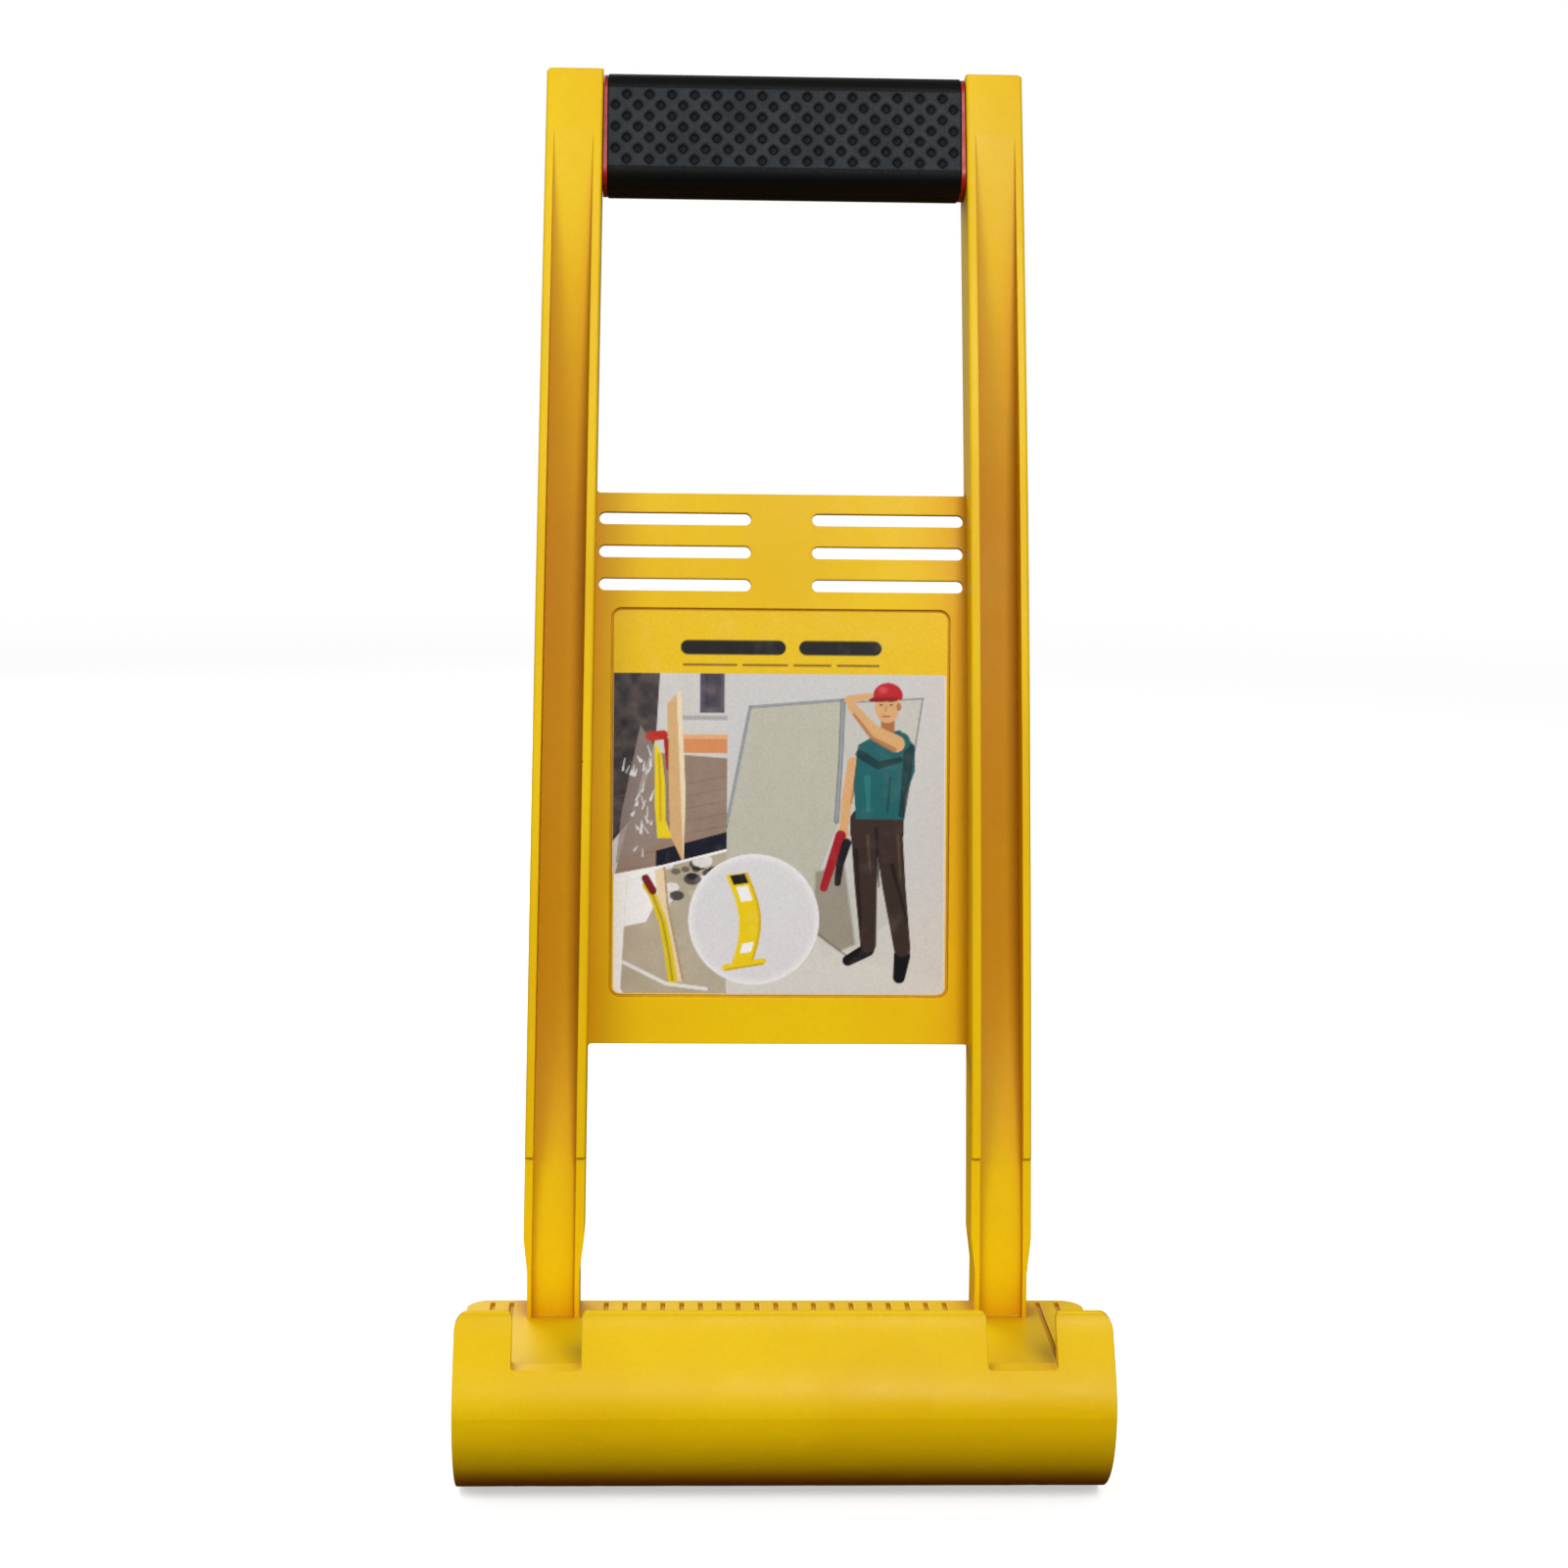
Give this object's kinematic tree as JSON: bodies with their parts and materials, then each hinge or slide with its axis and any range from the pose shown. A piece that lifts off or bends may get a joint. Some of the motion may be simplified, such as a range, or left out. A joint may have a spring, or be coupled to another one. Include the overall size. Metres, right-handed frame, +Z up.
{
  "type": "drywall lift",
  "caption": "Hand-held board carrier: bowed open frame with a rubber-covered crossbar grip above, a slotted label panel, and a wide foot whose lipped tray holds a sheet's lower edge.",
  "frame": {"origin": "middle of the flat land under the foot, on the ground", "axes": "+Z up, +X along the foot, -Y towards the board side, where the lip is"},
  "size_m": [0.17, 0.1351, 0.3733],
  "materials": {
    "yellow_abs": "fine satin moulding",
    "black_rubber": "matt, with moulded pits",
    "red_core": "satin",
    "screw_steel": "zinc plated",
    "label_print": "printed film"
  },
  "bodies": {
    "root": {"frame_body": "yellow_abs", "grip_skin_front": "black_rubber", "grip_skin_rear": "black_rubber", "grip_core_front": "red_core", "grip_core_rear": "red_core", "grip_screws": "screw_steel", "label_sheet": "label_print"}
  },
  "joints": []
}
